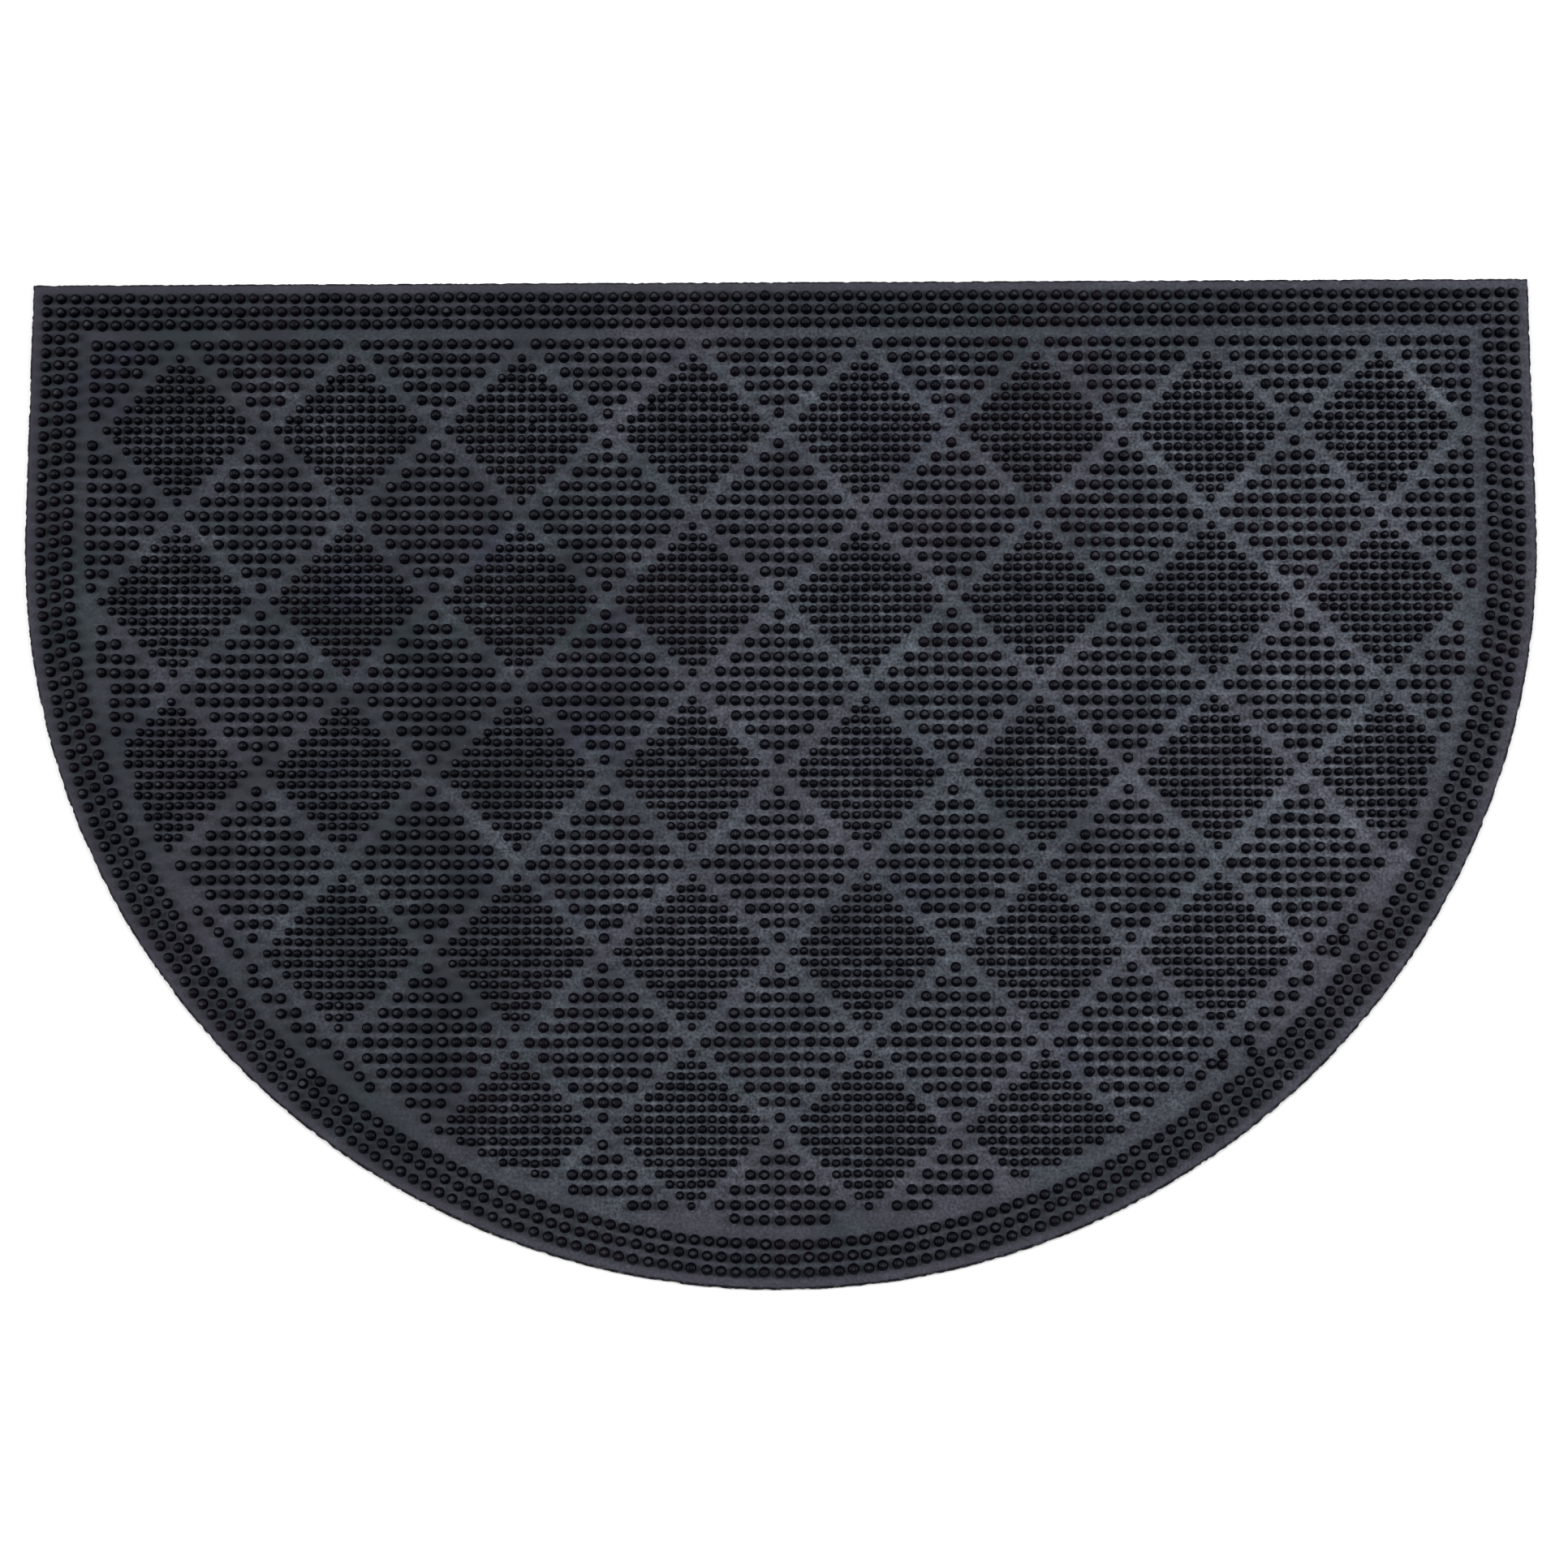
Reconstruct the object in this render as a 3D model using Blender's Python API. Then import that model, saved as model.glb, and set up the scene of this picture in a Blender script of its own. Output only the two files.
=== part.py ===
"""Half-moon rubber pin doormat, moulded in one piece, at its real size.

The mat lies flat, with its straight edge at +Y, its arc at -Y and its underside at Z = 0. The real
mat has thousands of pins, in diamonds of two pitches and in three rows round the border. Here each
diamond is one low pad and each border row is one rib, as wide as its pins and as high as their tops.
"""
import math

import bmesh
import bpy

MM = 0.001

# Outline: a rectangle with a half round on its front side
WIDTH = 600.0 * MM
SIDE_LENGTH = 100.0 * MM
ARC_RADIUS = WIDTH / 2
BACK_Y = (SIDE_LENGTH + ARC_RADIUS) / 2
ARC_CENTRE_Y = BACK_Y - SIDE_LENGTH
ARC_STEPS = 72

# Heights above the floor
EDGE_HEIGHT = 1.4 * MM
SHEET_TOP = 2.5 * MM
PIN_TOP = 5.5 * MM

# Border, measured inwards from the mat's edge
EDGE_BEVEL = 1.0 * MM
FIRST_ROW_INSET = 7.0 * MM
BORDER_ROW_PITCH = 5.45 * MM
BORDER_ROWS = 3
FIELD_INSET = 25.0 * MM

# Pins and the draft of the walls that stand for them
SMALL_PIN_RADIUS = 1.55 * MM
LARGE_PIN_RADIUS = 2.05 * MM
DRAFT = 0.3 * MM

# Diamonds: small pins stand in columns and rows of them, large pins fill the places between
COLUMNS = 8
ROWS = 5
COLUMN_PITCH = 68.14 * MM
ROW_PITCH = 69.60 * MM
FIRST_ROW_FROM_BACK = 61.2 * MM
HALF_DIAGONAL = 28.85 * MM
SHORTEST_SIDE = 0.6 * MM
SMALLEST_PAD = 40.0 * MM * MM

RUBBER_COLOUR = (0.045, 0.048, 0.054, 1.0)
RUBBER_ROUGHNESS = 0.62
SHARP_ANGLE = math.radians(20)


def clear_scene():
    """Remove whatever the scene holds."""
    for scene_object in list(bpy.data.objects):
        bpy.data.objects.remove(scene_object, do_unlink=True)


def outline(inset):
    """Return the mat's outline moved inwards by inset, anticlockwise from the back right corner."""
    half_width = WIDTH / 2 - inset
    points = [(half_width, BACK_Y - inset), (-half_width, BACK_Y - inset)]
    for step in range(ARC_STEPS + 1):
        angle = math.pi * (1 + step / ARC_STEPS)
        radius = ARC_RADIUS - inset
        points.append((radius * math.cos(angle), ARC_CENTRE_Y + radius * math.sin(angle)))
    return points


def border_profile():
    """Return the border's section as (inset, height), from the underside in to the last rib's foot."""
    profile = [(0.0, 0.0), (0.0, EDGE_HEIGHT), (EDGE_BEVEL, SHEET_TOP)]
    for row in range(BORDER_ROWS):
        middle = FIRST_ROW_INSET + row * BORDER_ROW_PITCH
        foot = LARGE_PIN_RADIUS
        crest = LARGE_PIN_RADIUS - DRAFT
        profile.append((middle - foot, SHEET_TOP))
        profile.append((middle - crest, PIN_TOP))
        profile.append((middle + crest, PIN_TOP))
        profile.append((middle + foot, SHEET_TOP))
    return profile


def diamond(centre_x, centre_y, pin_radius):
    """Return the straight-sided outline, with blunt tips, that just holds a diamond of pins."""
    tip = HALF_DIAGONAL + pin_radius
    blunt = pin_radius * (math.sqrt(2) - 1)
    corners = [
        (tip, -blunt), (tip, blunt), (blunt, tip), (-blunt, tip),
        (-tip, blunt), (-tip, -blunt), (-blunt, -tip), (blunt, -tip),
    ]
    return [(centre_x + x, centre_y + y) for x, y in corners]


def diamonds():
    """Return every diamond of the two crossed patterns, those that the border cuts among them."""
    shapes = []
    for row in range(-1, ROWS + 1):
        row_y = BACK_Y - FIRST_ROW_FROM_BACK - row * ROW_PITCH
        for column in range(-1, COLUMNS + 1):
            column_x = (column - (COLUMNS - 1) / 2) * COLUMN_PITCH
            shapes.append(diamond(column_x, row_y, SMALL_PIN_RADIUS))
            between_x = column_x + COLUMN_PITCH / 2
            between_y = row_y - ROW_PITCH / 2
            shapes.append(diamond(between_x, between_y, LARGE_PIN_RADIUS))
    return shapes


def left_of(start, end, point):
    """Return how far point lies to the left of the line from start to end, times its length."""
    along_x, along_y = end[0] - start[0], end[1] - start[1]
    return along_x * (point[1] - start[1]) - along_y * (point[0] - start[0])


def clip(points, boundary):
    """Cut a convex outline back to a convex boundary; both run anticlockwise."""
    for start, end in zip(boundary, boundary[1:] + boundary[:1]):
        kept = []
        for here, there in zip(points, points[1:] + points[:1]):
            side_here = left_of(start, end, here)
            side_there = left_of(start, end, there)
            if side_here >= 0:
                kept.append(here)
            if side_here * side_there < 0:
                share = side_here / (side_here - side_there)
                kept.append(tuple(a + share * (b - a) for a, b in zip(here, there)))
        points = kept
    return points


def drop_short_sides(points):
    """Leave out each point that lies closer to the one before it than the shortest side."""
    kept = []
    for index, point in enumerate(points):
        if math.dist(point, points[index - 1]) >= SHORTEST_SIDE:
            kept.append(point)
    return kept


def area(points):
    """Return the area inside an anticlockwise outline."""
    pairs = zip(points, points[1:] + points[:1])
    return sum(here[0] * there[1] - there[0] * here[1] for here, there in pairs) / 2


def pads():
    """Return the outlines of the pads that stand for the diamonds of pins inside the border."""
    boundary = outline(FIELD_INSET)
    shapes = [drop_short_sides(clip(shape, boundary)) for shape in diamonds()]
    return [shape for shape in shapes if len(shape) > 2 and area(shape) >= SMALLEST_PAD]


def add_loop(bm, points, height):
    """Add a closed ring of points at one height, and return its vertices."""
    return [bm.verts.new((x, y, height)) for x, y in points]


def add_ring_edges(bm, ring):
    """Join a ring's vertices, and return the edges."""
    return [bm.edges.new(pair) for pair in zip(ring, ring[1:] + ring[:1])]


def add_border(bm):
    """Add the underside, the bevelled edge and the ribs, and return the last rib's inner ring."""
    rings = [add_loop(bm, outline(inset), height) for inset, height in border_profile()]
    bm.faces.new(list(reversed(rings[0])))
    for outer, inner in zip(rings, rings[1:]):
        for index in range(len(outer)):
            bm.faces.new((outer[index - 1], outer[index], inner[index], inner[index - 1]))
    return rings[-1]


def add_field(bm, border_ring):
    """Fill the sheet's top inside the border, round the pads, and raise each pad to the pin tops."""
    edges = [bm.edges.get(pair) for pair in zip(border_ring, border_ring[1:] + border_ring[:1])]
    rings = [add_loop(bm, points, SHEET_TOP) for points in pads()]
    for ring in rings:
        edges += add_ring_edges(bm, ring)
    bmesh.ops.triangle_fill(bm, use_beauty=True, edges=edges)
    faces = [bm.faces.new(ring) for ring in rings]
    bm.normal_update()
    bmesh.ops.inset_individual(bm, faces=faces, thickness=DRAFT, depth=PIN_TOP - SHEET_TOP)


def rubber():
    """Return the moulded rubber's material."""
    material = bpy.data.materials.new("rubber")
    material.use_nodes = True
    shader = material.node_tree.nodes["Principled BSDF"]
    shader.inputs["Base Color"].default_value = RUBBER_COLOUR
    shader.inputs["Roughness"].default_value = RUBBER_ROUGHNESS
    shader.inputs["Metallic"].default_value = 0.0
    return material


def build_doormat():
    """Build the mat as one closed solid, and return its object."""
    bm = bmesh.new()
    border_ring = add_border(bm)
    add_field(bm, border_ring)
    bmesh.ops.recalc_face_normals(bm, faces=bm.faces)
    mesh = bpy.data.meshes.new("doormat")
    bm.to_mesh(mesh)
    bm.free()
    mesh.materials.append(rubber())
    mesh.shade_smooth()
    mesh.set_sharp_from_angle(angle=SHARP_ANGLE)
    doormat = bpy.data.objects.new("doormat", mesh)
    bpy.context.scene.collection.objects.link(doormat)
    return doormat


clear_scene()
build_doormat()
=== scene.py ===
"""Half-moon rubber pin doormat: the looks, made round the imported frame.

The mat lies on the floor with its straight edge at +Y and its arc at -Y, in metres. It is one moulding
of black rubber: a thin sheet with a bevelled edge, three rows of coarse pins round its border, and
diamonds of fine and coarse pins inside them. The pins follow two crossed lattices, cut at the border.
"""
import logging
import math
from collections.abc import Iterator
from dataclasses import dataclass, field
from enum import Enum
from typing import Any

import bpy
import numpy as np
from mathutils import Matrix, Vector


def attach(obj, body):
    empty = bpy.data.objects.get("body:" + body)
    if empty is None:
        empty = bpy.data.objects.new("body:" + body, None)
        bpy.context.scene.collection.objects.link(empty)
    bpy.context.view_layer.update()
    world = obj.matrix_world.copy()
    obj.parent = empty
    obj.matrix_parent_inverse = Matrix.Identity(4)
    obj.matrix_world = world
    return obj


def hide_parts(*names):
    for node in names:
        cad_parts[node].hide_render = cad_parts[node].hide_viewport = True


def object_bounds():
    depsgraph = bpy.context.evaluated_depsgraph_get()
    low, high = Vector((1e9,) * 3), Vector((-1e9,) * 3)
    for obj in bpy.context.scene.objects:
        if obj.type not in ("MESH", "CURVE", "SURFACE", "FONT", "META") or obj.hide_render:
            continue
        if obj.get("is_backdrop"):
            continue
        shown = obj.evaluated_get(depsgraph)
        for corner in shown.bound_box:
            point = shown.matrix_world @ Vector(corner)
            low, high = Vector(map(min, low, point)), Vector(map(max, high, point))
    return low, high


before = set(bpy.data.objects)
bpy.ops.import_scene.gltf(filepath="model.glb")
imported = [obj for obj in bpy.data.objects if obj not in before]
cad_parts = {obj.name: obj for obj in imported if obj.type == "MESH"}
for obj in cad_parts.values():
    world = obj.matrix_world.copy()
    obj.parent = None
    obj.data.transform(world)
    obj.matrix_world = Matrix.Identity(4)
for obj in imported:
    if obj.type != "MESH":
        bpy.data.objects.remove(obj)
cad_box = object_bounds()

MM = 0.001
CAD_NODE = "doormat"
CAD_BODY = "root"

Place = tuple[float, float]
Span = tuple[float, float]
Colour = tuple[float, float, float]
LOG = logging.getLogger("doormat")

# Every noise: how rough its finer layers are, its middle value, and which way its shift goes
NOISE_ROUGHNESS = 0.55
NOISE_MIDDLE = 0.5
SHIFT_DIRECTION = (1.0, 0.7, 0.3)


class PinKind(Enum):
    """The two sizes of pin that the mould makes."""

    SMALL = "small"
    LARGE = "large"


class Value:
    """A number that varies over a surface; arithmetic on it adds Math nodes."""

    def __init__(self, graph: "Graph", socket: bpy.types.NodeSocket) -> None:
        """Hold the graph that the nodes go to and the socket that gives the number."""
        self.graph = graph
        self.socket = socket

    def calculate(self, operation: str, *numbers: "Value | float") -> "Value":
        """Add one Math node.

        Args:
            operation: the Math node's operation.
            numbers: its inputs, in order.

        Returns:
            The node's result.
        """
        values = dict(enumerate(numbers))
        made = self.graph.node("ShaderNodeMath", {"operation": operation}, values)
        return Value(self.graph, made.outputs[0])

    def __add__(self, other: "Value | float") -> "Value":
        """Return self + other."""
        return self.calculate("ADD", self, other)

    def __sub__(self, other: "Value | float") -> "Value":
        """Return self - other."""
        return self.calculate("SUBTRACT", self, other)

    def __rsub__(self, other: float) -> "Value":
        """Return other - self."""
        return self.calculate("SUBTRACT", other, self)

    def __mul__(self, other: "Value | float") -> "Value":
        """Return self * other."""
        return self.calculate("MULTIPLY", self, other)

    __radd__ = __add__
    __rmul__ = __mul__

    def least(self, other: "Value | float") -> "Value":
        """Return the smaller of self and other."""
        return self.calculate("MINIMUM", self, other)

    def root(self) -> "Value":
        """Return the square root of self."""
        return self.calculate("SQRT", self)

    def between(self, low: float, high: float) -> "Value":
        """Rise smoothly from 0 to 1.

        Args:
            low: where the result leaves 0.
            high: where it reaches 1; below low, the result falls instead.

        Returns:
            The share of the way from low to high.
        """
        settings = {"interpolation_type": "SMOOTHSTEP"}
        rising = low < high
        values = {
            "Value": self,
            "From Min": min(low, high),
            "From Max": max(low, high),
            "To Min": 0.0 if rising else 1.0,
            "To Max": 1.0 if rising else 0.0,
        }
        return Value(self.graph, self.graph.node("ShaderNodeMapRange", settings, values).outputs[0])


class Graph:
    """One material's nodes, with its shader at hand."""

    def __init__(self, name: str) -> None:
        """Start a material with its shader alone.

        Args:
            name: the material's name.
        """
        self.material = bpy.data.materials.new(name)
        self.material.use_nodes = True
        self.nodes = self.material.node_tree.nodes
        self.links = self.material.node_tree.links
        self.shader = self.nodes["Principled BSDF"]

    def feed(self, socket: bpy.types.NodeSocket, value: Any) -> None:
        """Link or set one socket.

        Args:
            socket: the input to feed.
            value: a Value or another socket to link, or a plain value to set.
        """
        if isinstance(value, Value):
            value = value.socket
        if isinstance(value, bpy.types.NodeSocket):
            self.links.new(value, socket)
        else:
            socket.default_value = value

    def node(self, kind: str, settings: dict[str, Any], values: dict[Any, Any]) -> bpy.types.Node:
        """Add one node.

        Args:
            kind: the node's type.
            settings: its own settings, which are set first.
            values: what its input sockets get, by name or number.

        Returns:
            The new node.
        """
        made = self.nodes.new(kind)
        for name, setting in settings.items():
            setattr(made, name, setting)
        for name, value in values.items():
            self.feed(made.inputs[name], value)
        return made

    def place(self) -> bpy.types.NodeSocket:
        """Return the point of the surface in the mat's own frame, in metres."""
        return self.node("ShaderNodeTexCoord", {}, {}).outputs["Object"]

    def axes(self) -> tuple[Value, Value, Value]:
        """Return the point's X, Y and Z."""
        parts = self.node("ShaderNodeSeparateXYZ", {}, {0: self.place()})
        return tuple(Value(self, socket) for socket in parts.outputs)

    def noise(self, size: float, detail: float, shift: float,
              where: bpy.types.NodeSocket | None = None) -> Value:
        """Add soft random cloudiness.

        Args:
            size: the width of one blotch, in metres.
            detail: how many finer layers it has.
            shift: moves it to another part of the pattern.
            where: the point to look at, by default the surface's own.

        Returns:
            A value around 0.5.
        """
        ends = {0: where or self.place(), 1: tuple(shift * part for part in SHIFT_DIRECTION)}
        moved = self.node("ShaderNodeVectorMath", {"operation": "ADD"}, ends).outputs[0]
        values = {"Vector": moved, "Scale": 1 / size, "Detail": detail, "Roughness": NOISE_ROUGHNESS}
        return Value(self, self.node("ShaderNodeTexNoise", {}, values).outputs[0])

    def mix(self, share: "Value | float", first: Any, second: Any) -> bpy.types.NodeSocket:
        """Mix two colours.

        Args:
            share: how much of the second shows.
            first: a colour or a colour socket.
            second: a colour or a colour socket.

        Returns:
            The mixed colour's socket.
        """
        colours = [(*c, 1.0) if isinstance(c, tuple) else c for c in (first, second)]
        # A Mix node takes colours at its inputs 6 and 7, and gives one at its output 2
        values = {0: share, 6: colours[0], 7: colours[1]}
        return self.node("ShaderNodeMix", {"data_type": "RGBA"}, values).outputs[2]

    def bump(self, height: Value, depth: float) -> None:
        """Raise the shader's surface by height times depth, in metres."""
        values = {"Height": height, "Distance": depth, "Strength": 1.0}
        self.feed(self.shader.inputs["Normal"], self.node("ShaderNodeBump", {}, values).outputs[0])


@dataclass(frozen=True)
class Blotches:
    """One layer of soft random patches on a surface."""

    size: float
    detail: float
    shift: float
    low: float = 0.0
    high: float = 1.0
    strength: float = 1.0

    def noise(self, graph: Graph, where: bpy.types.NodeSocket | None = None) -> Value:
        """Return the layer's bare noise, around 0.5."""
        return graph.noise(self.size, self.detail, self.shift, where)

    def mask(self, graph: Graph, where: bpy.types.NodeSocket | None = None) -> Value:
        """Return how much the patches show, from 0 to the layer's strength."""
        return self.noise(graph, where).between(self.low, self.high) * self.strength

    def swing(self, graph: Graph) -> Value:
        """Return the layer's ups and downs, around 0."""
        return (self.noise(graph) - NOISE_MIDDLE) * self.strength


@dataclass(frozen=True)
class Outline:
    """The mat's outline: a rectangle with a half round in front of it."""

    width: float = 600 * MM
    side_length: float = 100 * MM
    back_y: float = 200 * MM

    @property
    def radius(self) -> float:
        """The arc's radius."""
        return self.width / 2

    @property
    def arc_y(self) -> float:
        """The Y of the arc's centre, where the straight sides end."""
        return self.back_y - self.side_length

    @property
    def area(self) -> float:
        """The area inside the outline."""
        return self.width * self.side_length + math.pi * self.radius**2 / 2

    def inset(self, x: float, y: float) -> float:
        """Find how far inside the edge a point lies.

        Args:
            x: the point's X.
            y: the point's Y.

        Returns:
            The distance to the edge, below 0 outside it.
        """
        if y > self.arc_y:
            return min(self.radius - abs(x), self.back_y - y)
        return self.radius - math.hypot(x, y - self.arc_y)

    def moved_in(self, x: float, y: float, inset: float) -> Place:
        """Find the point at a given inset that is nearest to a point outside it.

        Args:
            x: the point's X.
            y: the point's Y.
            inset: how far inside the edge the result lies.

        Returns:
            The nearest point.
        """
        reach = self.radius - inset
        y = min(y, self.back_y - inset)
        if y > self.arc_y:
            return max(-reach, min(reach, x)), y
        away = math.hypot(x, y - self.arc_y)
        return x * reach / away, self.arc_y + (y - self.arc_y) * reach / away


@dataclass(frozen=True)
class SheetRubber:
    """The sheet's finish: matte slate rubber with a grey bloom, tinted patches, grain, specks and a
    broken line of painted shade along the edge.
    """

    slate: Colour = (0.0205, 0.0238, 0.0298)
    bloom: Colour = (0.120, 0.134, 0.160)
    plum: Colour = (0.0310, 0.0262, 0.0370)
    moss: Colour = (0.0186, 0.0252, 0.0300)
    ink: Colour = (0.0220, 0.0240, 0.0390)
    rim: Colour = (0.038, 0.033, 0.047)
    # Painted shade: a near-black colour for the shadowed side wall along the outermost edge
    edge: Colour = (0.003, 0.003, 0.006)
    speck: Colour = (0.21, 0.215, 0.22)
    roughness: float = 0.72
    shine: float = 0.12
    grain_depth: float = 0.06 * MM
    haze: float = 0.22
    haze_slopes: tuple[float, float] = (0.60, -0.15)

    # Tinted patches, and the rim's own tint
    plum_patches: Blotches = Blotches(70 * MM, 3, 1.3, 0.48, 0.64, 0.8)
    moss_patches: Blotches = Blotches(55 * MM, 3, 7.1, 0.50, 0.66, 0.8)
    ink_patches: Blotches = Blotches(45 * MM, 2, 4.6, 0.60, 0.72, 0.9)
    rim_reach: Span = (6.0 * MM, 2.0 * MM)
    rim_strength: float = 0.6

    # The bloom's unevenness from broad to fine, and the share of it that lies on the border
    broad: Blotches = Blotches(110 * MM, 2, 3.9, strength=0.5)
    patch: Blotches = Blotches(22 * MM, 3, 5.2, strength=0.6)
    mottle: Blotches = Blotches(5 * MM, 3, 8.3, strength=2.4)
    grain: Blotches = Blotches(1.2 * MM, 2, 2.2, strength=5.5)
    border_reach: Span = (12 * MM, 45 * MM)
    border_share: float = 0.4

    # Diagonal scuffs, drawn out along their own direction
    scuffs_and_top_highlights: Blotches = Blotches(9 * MM, 3, 0.0, 0.55, 0.75)
    scuffed_areas: Blotches = Blotches(60 * MM, 2, 2.9, 0.50, 0.62)
    scuff_strength: float = 1.5
    scuff_scale: float = 0.7
    scuff_stretch: float = 0.15
    scuff_layer: float = 0.3

    # Pale specks, the broken line of painted shade along the edge, and the skin
    specks: Blotches = Blotches(0.8 * MM, 1, 9.4, 0.72, 0.80)
    speckled_areas: Blotches = Blotches(30 * MM, 2, 6.1, 0.4, 0.6)
    speck_strength: float = 0.6
    edge_shade_reach: Span = (1.5 * MM, 0.8 * MM)
    edge_shade_breaks: Blotches = Blotches(2.5 * MM, 2, 5.7, 0.36, 0.50)
    uneven_gloss: Blotches = Blotches(12 * MM, 3, 4.4, strength=0.3)
    fine_skin: Blotches = Blotches(1.2 * MM, 4, 6.6)
    coarse_skin: Blotches = Blotches(6 * MM, 2, 8.8, strength=2.0)

    def tint(self, graph: Graph, inset: Value) -> bpy.types.NodeSocket:
        """Colour the bare rubber in broad, faint patches.

        Args:
            graph: the material's nodes.
            inset: how far each point lies inside the mat's edge.

        Returns:
            The colour.
        """
        colour = graph.mix(self.plum_patches.mask(graph), self.slate, self.plum)
        colour = graph.mix(self.moss_patches.mask(graph), colour, self.moss)
        colour = graph.mix(self.ink_patches.mask(graph), colour, self.ink)
        return graph.mix(inset.between(*self.rim_reach) * self.rim_strength, colour, self.rim)

    def cloud(self, graph: Graph, x: Value, y: Value, inset: Value) -> Value:
        """Find how much grey bloom lies on each point, from broad haze down to grain.

        Args:
            graph: the material's nodes.
            x: each point's X.
            y: each point's Y.
            inset: how far it lies inside the mat's edge.

        Returns:
            The share of bloom.
        """
        slope_x, slope_y = self.haze_slopes
        drift = x * slope_x + y * slope_y + self.haze
        hazy = drift + self.broad.swing(graph) + self.patch.swing(graph)
        inner = inset.between(*self.border_reach) * (1 - self.border_share) + self.border_share
        along = (x - y) * self.scuff_scale * self.scuff_stretch
        across = (x + y) * self.scuff_scale
        ends = {0: along, 1: across, 2: self.scuff_layer}
        scuff_place = graph.node("ShaderNodeCombineXYZ", {}, ends).outputs[0]
        scuffs_and_top_highlights = self.scuffs_and_top_highlights.mask(graph, scuff_place)
        scuffed_and_highlit = self.scuffed_areas.mask(graph) * scuffs_and_top_highlights * self.scuff_strength + 1.0
        grainy = self.mottle.swing(graph) + self.grain.swing(graph) + 1.0
        return hazy * inner * scuffed_and_highlit * grainy

    def material(self, name: str, outline: Outline) -> bpy.types.Material:
        """Make the sheet's material.

        Args:
            name: the material's name.
            outline: the mat's outline, for the rim's tint.

        Returns:
            The material.
        """
        graph = Graph(name)
        x, y, _ = graph.axes()
        past_sides = (y - outline.arc_y).least(0.0)
        inset = (outline.radius - (x * x + past_sides * past_sides).root()).least(outline.back_y - y)
        colour = graph.mix(self.cloud(graph, x, y, inset), self.tint(graph, inset), self.bloom)
        specks = self.specks.mask(graph) * self.speckled_areas.mask(graph) * self.speck_strength
        colour = graph.mix(specks, colour, self.speck)
        # Painted shade: a broken near-black line along the outermost edge, standing for its shadowed
        # side wall
        edge_shade = inset.between(*self.edge_shade_reach) * self.edge_shade_breaks.mask(graph)
        graph.feed(graph.shader.inputs["Base Color"], graph.mix(edge_shade, colour, self.edge))

        roughness = self.roughness + self.uneven_gloss.swing(graph)
        graph.feed(graph.shader.inputs["Roughness"], roughness)
        graph.feed(graph.shader.inputs["Specular IOR Level"], self.shine)
        coarse_skin = self.coarse_skin.noise(graph) * self.coarse_skin.strength
        graph.bump(self.fine_skin.noise(graph) + coarse_skin, self.grain_depth)
        return graph.material


@dataclass(frozen=True)
class PinRubber:
    """The pins' finish: the near-black rubber, its flanks darkened further with painted shade and its
    tops paled by a painted highlight.
    """

    # Painted shade: the flanks are far darker than the same rubber on the sheet, standing for the shade
    # on the steep walls and in the narrow gaps between pins; the plum patches tint it
    flank: Colour = (0.0006, 0.0011, 0.0032)
    # Painted highlight: the tops' paler colours stand for the overhead light on the domes, bright on
    # some pins and faint on others
    top: Colour = (0.0290, 0.0312, 0.0385)
    faint_top_highlight: Colour = (0.0050, 0.0056, 0.0078)
    plum: Colour = (0.0028, 0.0014, 0.0040)
    roughness: float = 0.38
    shine: float = 0.065
    # Heights where the painted highlight on the tops begins and where it is full
    highlight_low: float = 5.35 * MM
    highlight_high: float = 5.48 * MM
    skin_depth: float = 0.05 * MM
    plum_patches: Blotches = Blotches(60 * MM, 2, 1.3, 0.50, 0.66)
    # On the pins these patches pick a bright or a faint painted highlight for each top
    scuffs_and_top_highlights: Blotches = Blotches(4 * MM, 3, 2.7, 0.38, 0.64)
    dull_rise: float = 0.15
    skin: Blotches = Blotches(0.7 * MM, 3, 3.3)

    def material(self, name: str) -> bpy.types.Material:
        """Make the pins' material.

        Args:
            name: the material's name.

        Returns:
            The material.
        """
        graph = Graph(name)
        height = graph.axes()[2]
        # Painted highlight on the highest part of each dome, bright or faint by the patches
        highlit_top = height.between(self.highlight_low, self.highlight_high)
        scuffed_and_highlit = self.scuffs_and_top_highlights.mask(graph)
        top = graph.mix(scuffed_and_highlit, self.faint_top_highlight, self.top)
        # Painted shade on the flanks, in places plum-tinted
        flank = graph.mix(self.plum_patches.mask(graph), self.flank, self.plum)
        graph.feed(graph.shader.inputs["Base Color"], graph.mix(highlit_top, flank, top))
        roughness = self.roughness + (1 - scuffed_and_highlit) * highlit_top * self.dull_rise
        graph.feed(graph.shader.inputs["Roughness"], roughness)
        graph.feed(graph.shader.inputs["Specular IOR Level"], self.shine)
        graph.bump(self.skin.noise(graph), self.skin_depth)
        return graph.material


@dataclass(frozen=True)
class PalePaint:
    """The floor's finish: plain pale matte paint, very slightly uneven."""

    light: Colour = (0.93, 0.93, 0.93)
    shade: Colour = (0.91, 0.91, 0.912)
    unevenness: Blotches = Blotches(400 * MM, 2, 0.0)
    roughness: float = 0.9
    shine: float = 0.1

    def material(self, name: str) -> bpy.types.Material:
        """Make the floor's material.

        Args:
            name: the material's name.

        Returns:
            The material.
        """
        graph = Graph(name)
        colour = graph.mix(self.unevenness.noise(graph), self.light, self.shade)
        graph.feed(graph.shader.inputs["Base Color"], colour)
        graph.feed(graph.shader.inputs["Roughness"], self.roughness)
        graph.feed(graph.shader.inputs["Specular IOR Level"], self.shine)
        return graph.material


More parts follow.
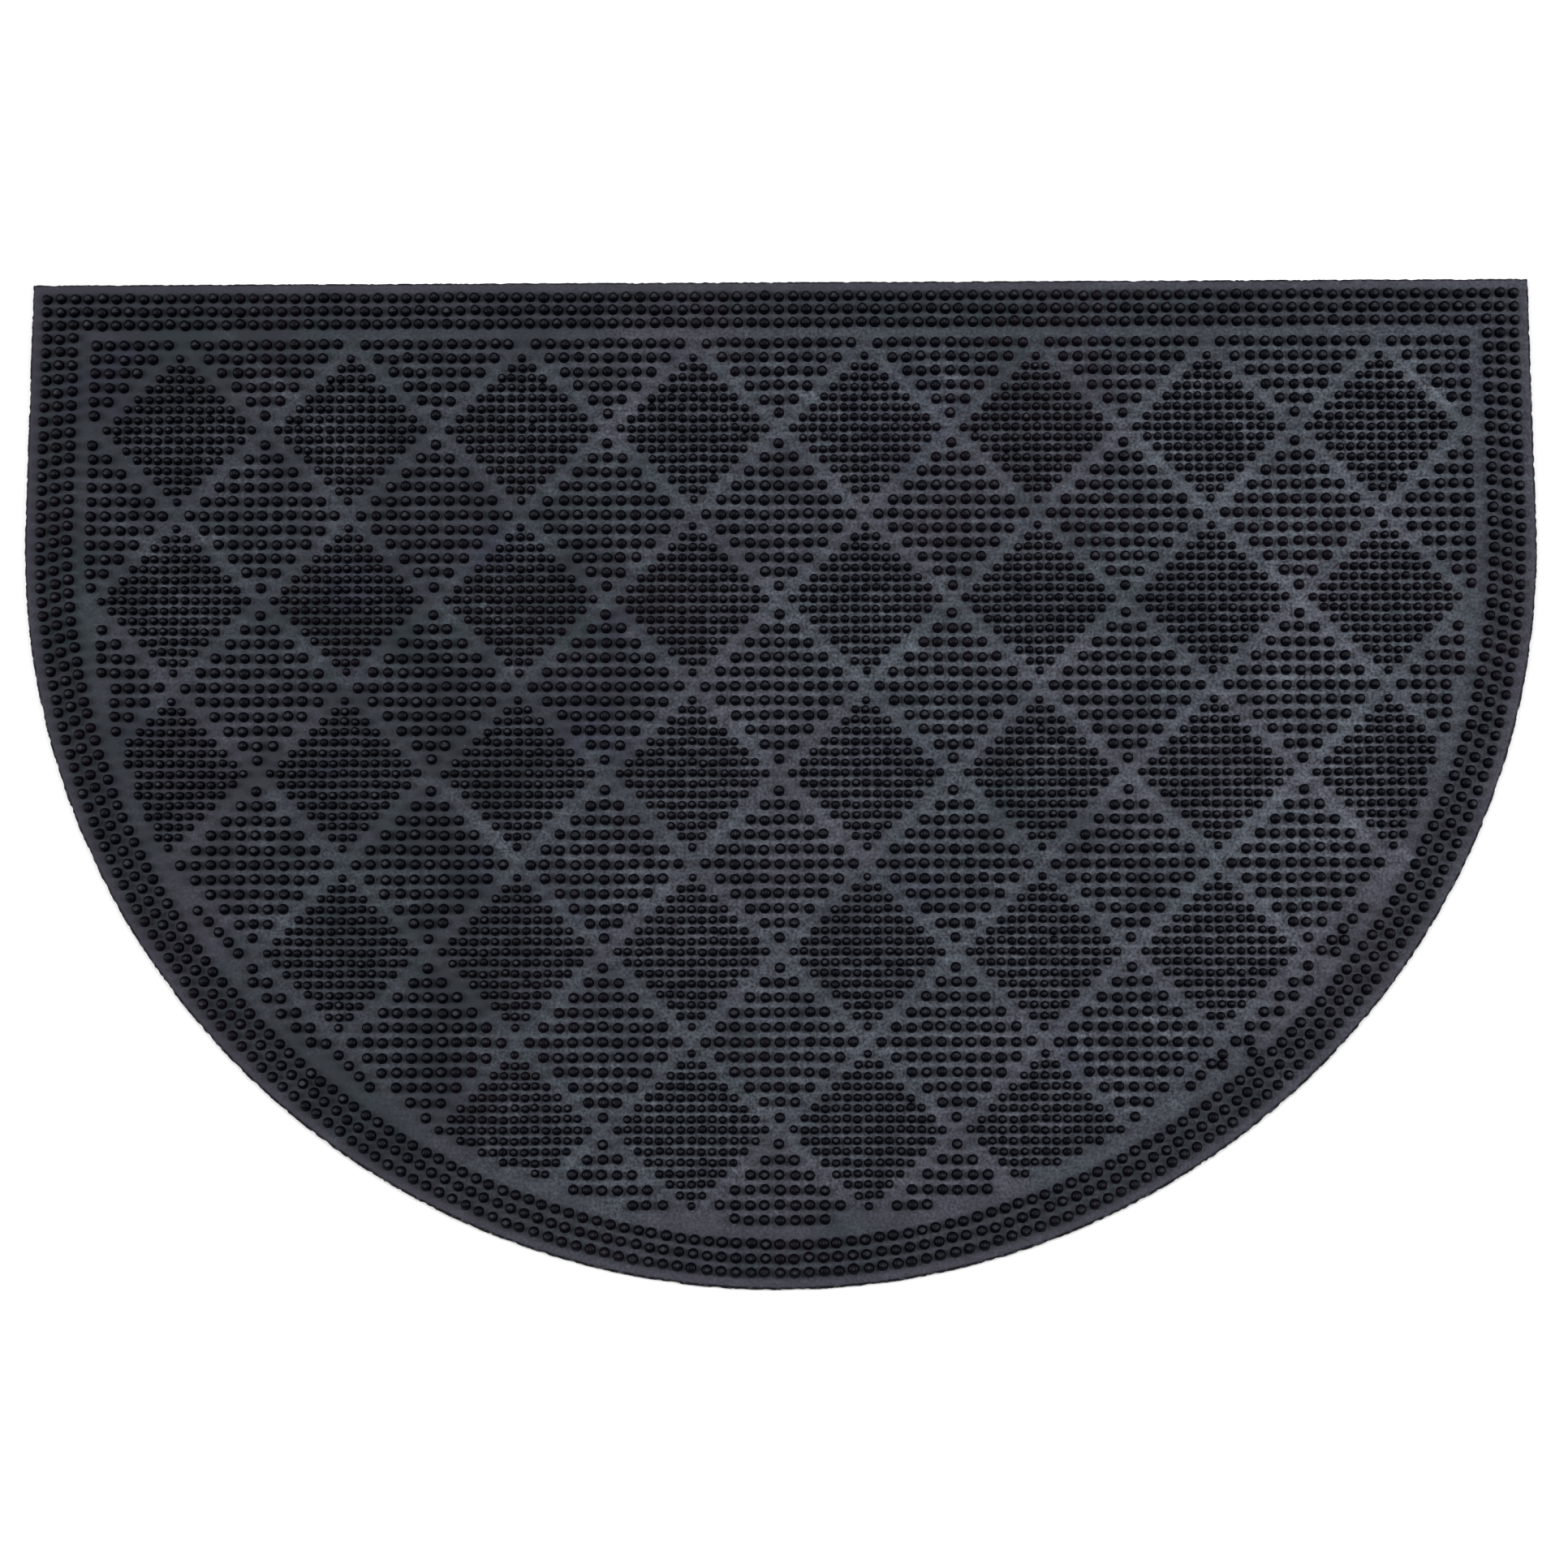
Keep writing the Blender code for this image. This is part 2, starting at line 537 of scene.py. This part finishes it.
def add_piece(name: str, points: np.ndarray, faces: list[list[int]],
              material: bpy.types.Material) -> bpy.types.Object:
    """Make one smooth mesh piece of the mat.

    Args:
        name: the piece's name.
        points: its vertices, one a row.
        faces: its faces, as vertex numbers.
        material: its finish.

    Returns:
        The piece, which rides on the mat's body.
    """
    mesh = bpy.data.meshes.new(name)
    mesh.from_pydata(points, [], faces)
    mesh.materials.append(material)
    mesh.shade_smooth()
    piece = bpy.data.objects.new(name, mesh)
    bpy.context.scene.collection.objects.link(piece)
    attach(piece, CAD_BODY)
    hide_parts(CAD_NODE)
    return piece


def straight_run(start: Place, end: Place, normal: Place, count: int) -> list[tuple[float, ...]]:
    """Walk along a straight side in even steps.

    Args:
        start: the first point.
        end: where the side ends, which is left out.
        normal: the side's outward normal.
        count: how many points there are.

    Returns:
        Rows of X, Y and the normal's X and Y.
    """
    rows = []
    for step in range(count):
        share = step / count
        x = start[0] + (end[0] - start[0]) * share
        y = start[1] + (end[1] - start[1]) * share
        rows.append((x, y, *normal))
    return rows


def round_run(middle: Place, radius: float, start: float, end: float,
              count: int) -> list[tuple[float, ...]]:
    """Walk along an arc in even steps.

    Args:
        middle: the arc's centre.
        radius: its radius.
        start: the angle that it starts at.
        end: the angle that it ends at, which is left out.
        count: how many points there are.

    Returns:
        Rows of X, Y and the outward normal's X and Y.
    """
    rows = []
    for step in range(count):
        angle = start + (end - start) * step / count
        normal = (math.cos(angle), math.sin(angle))
        rows.append((middle[0] + radius * normal[0], middle[1] + radius * normal[1], *normal))
    return rows


@dataclass
class Sheet:
    """The thin sheet: a flat underside, a bevelled and slightly ragged edge, and a level top."""

    outline: Outline
    finish: SheetRubber = SheetRubber()
    top: float = 2.5 * MM
    corner_radius: float = 0.8 * MM
    least_corner: float = 0.2 * MM
    corner_steps: int = 4
    spacing: float = 1.0 * MM
    raggedness: float = 0.26 * MM
    ragged_reach: float = 1.6 * MM
    ragged_limit: float = 2.2
    ragged_spread: float = 1.4
    neighbour_weights: tuple[float, ...] = (1.0, 0.8, 0.4)
    seed: int = 11

    def edge_profile(self) -> list[tuple[float, float]]:
        """Return the edge's section as (inset, height), from the underside over the edge to the top."""
        millimetres = [
            (0.5, 0.0), (0.08, 0.3), (0.0, 1.0), (0.15, 1.55),
            (0.6, 2.1), (1.2, 2.4), (2.0, 2.5), (3.0, 2.5),
        ]
        return [(inset * MM, height * MM) for inset, height in millimetres]

    def ring(self, inset: float) -> np.ndarray:
        """Walk round the outline anticlockwise in even steps, at some inset.

        Args:
            inset: how far inside the edge the ring runs.

        Returns:
            Rows of X, Y and the outward normal's X and Y, as many for every inset.
        """
        o = self.outline
        corner = max(self.corner_radius - inset, self.least_corner)
        radius = o.radius - inset
        straight = radius - corner
        back_y = o.back_y - inset
        side_top = back_y - corner
        quarter = math.pi / 2
        back_steps = round(o.width / self.spacing)
        side_steps = round(o.side_length / self.spacing)
        arc_steps = round(math.pi * o.radius / self.spacing)
        rows = straight_run((straight, back_y), (-straight, back_y), (0.0, 1.0), back_steps)
        rows += round_run((-straight, side_top), corner, quarter, 2 * quarter, self.corner_steps)
        rows += straight_run((-radius, side_top), (-radius, o.arc_y), (-1.0, 0.0), side_steps)
        rows += round_run((0.0, o.arc_y), radius, 2 * quarter, 4 * quarter, arc_steps)
        rows += straight_run((radius, o.arc_y), (radius, side_top), (1.0, 0.0), side_steps)
        rows += round_run((straight, side_top), corner, 0.0, quarter, self.corner_steps)
        return np.array(rows)

    def ragged(self, count: int) -> np.ndarray:
        """Draw the moulded edge's small ins at random, each one smoothed over its neighbours.

        Args:
            count: how many points there are round the edge.

        Returns:
            How far each point lies inside the true edge.
        """
        rng = np.random.default_rng(self.seed)
        drawn = rng.normal(size=count)
        layers = [np.roll(drawn, step) * weight for step, weight in enumerate(self.neighbour_weights)]
        smooth = sum(layers) / self.ragged_spread
        return np.abs(smooth).clip(0, self.ragged_limit) * self.raggedness

    def build(self) -> bpy.types.Object:
        """Make the sheet as one closed mesh.

        Returns:
            The sheet's piece.
        """
        count = len(self.ring(0.0))
        ragged = self.ragged(count)
        rings = []
        for inset, height in self.edge_profile():
            rows = self.ring(inset)
            fade = max(0.0, 1 - inset / self.ragged_reach)
            flat = rows[:, :2] - rows[:, 2:] * (ragged * fade)[:, None]
            rings.append(np.column_stack([flat, np.full(count, height)]))
        points = np.vstack(rings)
        faces = [list(range(count))[::-1]]
        for ring in range(len(rings) - 1):
            start = ring * count
            above = start + count
            for k in range(count):
                after = (k + 1) % count
                faces.append([start + k, start + after, above + after, above + k])
        faces.append(list(range(len(points) - count, len(points))))
        return add_piece("mat_sheet", points, faces, self.finish.material("sheet_rubber", self.outline))


@dataclass(frozen=True)
class PinShape:
    """One pin's turned form: a flared foot, a tapered wall and a softly domed top."""

    radius: float
    sides: int
    height: float = 3.0 * MM
    sunk: float = 0.25 * MM

    def profile(self) -> list[tuple[float, float]]:
        """Return the pin's section as (radius, height above the sheet), from the foot to the dome."""
        shares = [(1.12, None), (1.02, 0.06), (0.94, 0.45), (0.87, 0.76), (0.70, 0.90), (0.40, 0.97)]
        return [(self.radius * r, -self.sunk if h is None else self.height * h) for r, h in shares]

    def template(self) -> tuple[np.ndarray, list[list[int]]]:
        """Turn one pin that stands at the origin.

        Returns:
            Its vertices, one a row, and its faces, as vertex numbers.
        """
        angles = np.arange(self.sides) * 2 * math.pi / self.sides
        circle = np.column_stack([np.cos(angles), np.sin(angles)])
        profile = self.profile()
        rings = [np.column_stack([circle * r, np.full(self.sides, h)]) for r, h in profile]
        points = np.vstack([*rings, [[0.0, 0.0, self.height]]])
        faces = [list(range(self.sides))[::-1]]
        for ring in range(len(profile) - 1):
            start = ring * self.sides
            above = start + self.sides
            for k in range(self.sides):
                after = (k + 1) % self.sides
                faces.append([start + k, start + after, above + after, above + k])
        last = (len(profile) - 1) * self.sides
        faces += [[last + k, last + (k + 1) % self.sides, len(points) - 1] for k in range(self.sides)]
        return points, faces


@dataclass
class PinLattice:
    """The field's two crossed lattices of diamonds, cut off along the border."""

    outline: Outline
    columns: int = 8
    rows: int = 5
    column_pitch: float = 68.35 * MM
    row_pitch: float = 69.72 * MM
    first_row_from_back: float = 60.75 * MM
    small_steps: int = 7
    small_pitch: Place = (4.113 * MM, 4.167 * MM)
    small_room: float = 3.2 * MM
    large_steps: int = 5
    large_pitch: Place = (5.778 * MM, 5.80 * MM)
    large_room: float = 4.3 * MM
    small_row_shifts: tuple[float, ...] = (-0.1 * MM, 0.3 * MM, 0.5 * MM, -0.1 * MM, 0.7 * MM)
    large_row_shifts: tuple[float, ...] = (-0.3 * MM, 0.2 * MM, -0.5 * MM, -0.3 * MM, 1.0 * MM)
    edge_inset: float = 26.05 * MM
    set_back: float = 0.4 * MM
    small_give: float = 0.3 * MM
    large_give: float = 0.8 * MM
    fewest: int = 14
    fewest_flank: int = 3
    flank_share: float = 0.98
    strays: tuple[Place, ...] = (
        (219.2 * MM, -65.6 * MM), (215.4 * MM, -70.2 * MM),
        (182.5 * MM, -109.5 * MM), (171.1 * MM, -114.3 * MM),
    )
    stray_row: int = 3

    def centre(self, column: int, row: int, kind: PinKind) -> Place:
        """Find the middle of a diamond, with the mould's own small error of its row.

        Args:
            column: the column's number, from the left.
            row: the row's number, from the back edge; rows -1 and past the last are cut by the border.
            kind: the diamond's pins. Large ones lie between the small ones, half a pitch on.

        Returns:
            The middle.
        """
        large = kind is PinKind.LARGE
        half = 0.5 if large else 0.0
        shifts = self.large_row_shifts if large else self.small_row_shifts
        shift = shifts[row] if 0 <= row < len(shifts) else 0.0
        x = (column + half - (self.columns - 1) / 2) * self.column_pitch
        y = self.outline.back_y - self.first_row_from_back - (row + half) * self.row_pitch
        return x, y + shift

    def diamond(self, centre: Place, steps: int, pitch: Place) -> list[Place]:
        """Lay out a whole diamond of pins.

        Args:
            centre: its middle.
            steps: how many pins lie between its middle and each tip, the tip's own among them.
            pitch: the distance between two pins along X and along Y.

        Returns:
            Every place in it.
        """
        places = []
        for row in range(-steps, steps + 1):
            reach = steps - abs(row)
            for column in range(-reach, reach + 1):
                places.append((centre[0] + column * pitch[0], centre[1] + row * pitch[1]))
        return places

    def inset(self, place: Place) -> float:
        """Return how far inside the edge a place lies, the field being set a little back."""
        return self.outline.inset(place[0], place[1] - self.set_back)

    def settled(self, place: Place, give: float) -> Place | None:
        """Find where the mould has a pin that the border would cut.

        Args:
            place: the place that the lattice gives.
            give: how far a pin may be moved in.

        Returns:
            The place itself inside the field, a place moved in close to it, or None past that.
        """
        inset = self.inset(place)
        if inset >= self.edge_inset:
            return place
        if inset >= self.edge_inset - give:
            x, y = self.outline.moved_in(place[0], place[1] - self.set_back, self.edge_inset)
            return x, y + self.set_back
        return None

    def trimmed(self, places: list[Place], room: float, give: float) -> list[Place]:
        """Cut a diamond off at the border.

        Args:
            places: the whole diamond's places.
            room: the least distance between two pins.
            give: how far a pin may be moved in to stay.

        Returns:
            The places that are left, those deepest inside the field first.
        """
        kept: list[Place] = []
        for place in sorted(places, key=self.inset, reverse=True):
            found = self.settled(place, give)
            if found and all(math.dist(found, other) >= room for other in kept):
                kept.append(found)
        return kept

    def fields(self) -> Iterator[tuple[PinKind, int, list[Place]]]:
        """Go through the diamonds, and at last the pins that stand by themselves.

        A small diamond that the border leaves too few pins keeps only its outermost places, for large
        pins.

        Yields:
            The pins' kind, the row's number and the pins' places.
        """
        flank_reach = self.small_steps * self.small_pitch[0] * self.flank_share
        for row in range(-1, self.rows + 1):
            for column in range(-1, self.columns + 1):
                x, y = self.centre(column, row, PinKind.SMALL)
                whole = self.diamond((x, y), self.small_steps, self.small_pitch)
                places = self.trimmed(whole, self.small_room, self.small_give)
                if len(places) >= self.fewest:
                    yield PinKind.SMALL, row, places
                else:
                    flank = [p for p in places if abs(p[0] - x) + abs(p[1] - y) > flank_reach]
                    yield PinKind.LARGE, row, flank if len(flank) >= self.fewest_flank else []
                between = self.centre(column, row, PinKind.LARGE)
                whole = self.diamond(between, self.large_steps, self.large_pitch)
                yield PinKind.LARGE, row, self.trimmed(whole, self.large_room, self.large_give)
        yield PinKind.LARGE, self.stray_row, list(self.strays)


@dataclass
class BorderRows:
    """The three rows of large pins along the mat's edge."""

    outline: Outline
    first_inset: float = 6.55 * MM
    pitch: float = 5.45 * MM
    rows: int = 3
    back_steps: int = 106
    round_steps: int = 192

    def back_row(self, row: int) -> list[Place]:
        """Find a row's places along the straight back edge.

        Args:
            row: the row's number, from the edge in.

        Returns:
            The places, from left to right.
        """
        half = self.outline.radius - self.first_inset
        y = self.outline.back_y - self.first_inset - row * self.pitch
        return [(half * (2 * k / self.back_steps - 1), y) for k in range(self.back_steps + 1)]

    def round_row(self, row: int) -> list[Place]:
        """Find a row's places down the left side, round the arc and up the right side.

        Args:
            row: the row's number, from the edge in.

        Returns:
            The places, in that order.
        """
        o = self.outline
        inset = self.first_inset + row * self.pitch
        reach = o.radius - inset
        start_y = o.back_y - self.first_inset - (self.rows - 1) * self.pitch
        side = start_y - o.arc_y
        arc = math.pi * reach
        total = 2 * side + arc
        places = []
        for k in range(1, self.round_steps):
            along = total * k / self.round_steps
            if along < side:
                places.append((-reach, start_y - along))
            elif along > side + arc:
                places.append((reach, start_y - (total - along)))
            else:
                angle = math.pi * (1 + (along - side) / arc)
                places.append((reach * math.cos(angle), o.arc_y + reach * math.sin(angle)))
        return places


@dataclass
class Pins:
    """All the pins, as one mesh for each row of the border, and for each row and size in the field."""

    outline: Outline
    sheet: Sheet
    finish: PinRubber = PinRubber()
    shapes: dict[PinKind, PinShape] = field(default_factory=lambda: {
        PinKind.SMALL: PinShape(1.62 * MM, 10),
        PinKind.LARGE: PinShape(2.05 * MM, 12),
    })
    stray: float = 0.17 * MM
    most_stray: float = 0.38 * MM
    girth_spread: float = 0.025
    most_girth: float = 0.06
    height_spread: float = 0.012
    height_limits: Span = (-0.03, 0.02)
    lean: float = 0.02
    most_lean: float = 0.05
    seed: int = 5

    def mesh_rows(self, name: str, kind: PinKind, places: list[Place], rng: np.random.Generator,
                  material: bpy.types.Material) -> bpy.types.Object:
        """Make one mesh of many pins, each a little off its place, its size and upright.

        Args:
            name: the piece's name.
            kind: the pins' size.
            places: where they stand.
            rng: the source of the small differences.
            material: the pins' finish.

        Returns:
            The piece.
        """
        shape = self.shapes[kind]
        points, faces = shape.template()
        count = len(places)
        off = rng.normal(0, self.stray, (count, 2)).clip(-self.most_stray, self.most_stray)
        at = np.array(places) + off
        girth = 1 + rng.normal(0, self.girth_spread, count).clip(-self.most_girth, self.most_girth)
        tall = 1 + rng.normal(0, self.height_spread, count).clip(*self.height_limits)
        lean = rng.normal(0, self.lean, (count, 2)).clip(-self.most_lean, self.most_lean)
        turn = rng.uniform(0, 2 * math.pi / shape.sides, count)
        cos, sin = np.cos(turn)[:, None], np.sin(turn)[:, None]
        x = (points[:, 0] * cos - points[:, 1] * sin) * girth[:, None]
        y = (points[:, 0] * sin + points[:, 1] * cos) * girth[:, None]
        z = points[:, 2] * tall[:, None]
        placed = np.stack([
            x + at[:, :1] + lean[:, :1] * z,
            y + at[:, 1:] + lean[:, 1:] * z,
            z + self.sheet.top,
        ], axis=2).reshape(-1, 3)
        step = len(points)
        every = [[index + pin * step for index in face] for pin in range(count) for face in faces]
        return add_piece(name, placed, every, material)

    def build(self) -> list[bpy.types.Object]:
        """Make every piece of pins.

        Returns:
            The pieces, the border's first.
        """
        rng = np.random.default_rng(self.seed)
        material = self.finish.material("pin_rubber")
        border = BorderRows(self.outline)
        lattice = PinLattice(self.outline)
        pieces = []
        for row in range(border.rows):
            places = border.back_row(row) + border.round_row(row)
            pieces.append(self.mesh_rows(f"border_row_{row + 1}", PinKind.LARGE, places, rng, material))
        gathered: dict[tuple[PinKind, int], list[Place]] = {}
        for kind, row, places in lattice.fields():
            gathered.setdefault((kind, row), []).extend(places)
        for kind, row in sorted(gathered, key=lambda each: (each[0].value, each[1])):
            places = gathered[kind, row]
            if places:
                # The rows' numbers start at -1, and those in the names at 1
                name = f"{kind.value}_pins_{row + 2}"
                pieces.append(self.mesh_rows(name, kind, places, rng, material))
        return pieces


@dataclass(frozen=True)
class SoftBox:
    """One soft square light, turned to the mat's middle."""

    name: str
    place: tuple[float, float, float]
    size: float
    power: float

    def build(self) -> None:
        """Add the light to the scene."""
        light = bpy.data.lights.new(self.name, "AREA")
        light.shape = "SQUARE"
        light.size = self.size
        light.energy = self.power
        lamp = bpy.data.objects.new(self.name, light)
        lamp.location = self.place
        lamp.rotation_euler = (-Vector(self.place)).to_track_quat("-Z", "Y").to_euler()
        bpy.context.scene.collection.objects.link(lamp)


@dataclass
class Studio:
    """The pale floor, the soft light and the camera at the photograph's angle."""

    floor_size: float = 8.0
    ambient: float = 0.19
    lights: tuple[SoftBox, ...] = (
        SoftBox("left_light", (-2.3, 0.1, 1.7), 1.4, 66.0),
        SoftBox("right_light", (2.3, 0.1, 1.7), 1.4, 66.0),
        SoftBox("back_light", (0.0, 0.9, 2.7), 2.2, 30.0),
    )
    camera_place: tuple[float, float, float] = (14.4 * MM, -191.35 * MM, 1260.1 * MM)
    camera_target: tuple[float, float, float] = (1.8 * MM, -3.65 * MM, 0.0)
    camera_roll: float = math.radians(-0.08)
    lens: float = 74.53
    sensor_width: float = 36.0

    def build_floor(self) -> None:
        """Lay the floor."""
        mesh = bpy.data.meshes.new("floor")
        half = self.floor_size / 2
        corners = [(-half, -half, 0.0), (half, -half, 0.0), (half, half, 0.0), (-half, half, 0.0)]
        mesh.from_pydata(corners, [], [(0, 1, 2, 3)])
        mesh.materials.append(PalePaint().material("pale_paint"))
        floor = bpy.data.objects.new("floor", mesh)
        bpy.context.scene.collection.objects.link(floor)
        floor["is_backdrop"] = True

    def build_light(self) -> None:
        """Set the lights and the even light from all round."""
        for light in self.lights:
            light.build()
        world = bpy.data.worlds.new("studio")
        world.use_nodes = True
        world.node_tree.nodes["Background"].inputs["Color"].default_value = (1.0, 1.0, 1.0, 1.0)
        world.node_tree.nodes["Background"].inputs["Strength"].default_value = self.ambient
        bpy.context.scene.world = world
        bpy.context.scene.view_settings.view_transform = "Standard"

    def build_camera(self) -> None:
        """Set the camera above the mat's front, almost straight down, with +Y up the picture."""
        data = bpy.data.cameras.new("camera")
        data.lens = self.lens
        data.sensor_width = self.sensor_width
        camera = bpy.data.objects.new("camera", data)
        look = (Vector(self.camera_target) - Vector(self.camera_place)).normalized()
        right = look.cross(Vector((0.0, 1.0, 0.0))).normalized()
        turned = Matrix((right, right.cross(look), -look)).transposed().to_4x4()
        roll = Matrix.Rotation(self.camera_roll, 4, "Z")
        camera.matrix_world = Matrix.Translation(self.camera_place) @ turned @ roll
        bpy.context.scene.collection.objects.link(camera)
        bpy.context.scene.camera = camera

    def build(self) -> None:
        """Make the whole studio."""
        self.build_floor()
        self.build_light()
        self.build_camera()


def write_sizes() -> None:
    """Gather the CAD model's box and the visual model's box."""
    boxes = {"cad": cad_box, "visual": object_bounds()}
    {name: [list(corner) for corner in box] for name, box in boxes.items()}


def main() -> None:
    """Build the mat and the studio."""
    logging.basicConfig(level=logging.INFO, format="%(message)s")
    outline = Outline()
    sheet = Sheet(outline)
    sheet_piece = sheet.build()
    pins = Pins(outline, sheet).build()
    outline.area
    for piece in (sheet_piece, *pins):
        piece.data.calc_loop_triangles()
        LOG.info("%s: %d triangles", piece.name, len(piece.data.loop_triangles))
    studio = Studio()
    studio.build()
    LOG.info("studio: %d lights", len(studio.lights))
    write_sizes()


if __name__ == "__main__":
    main()
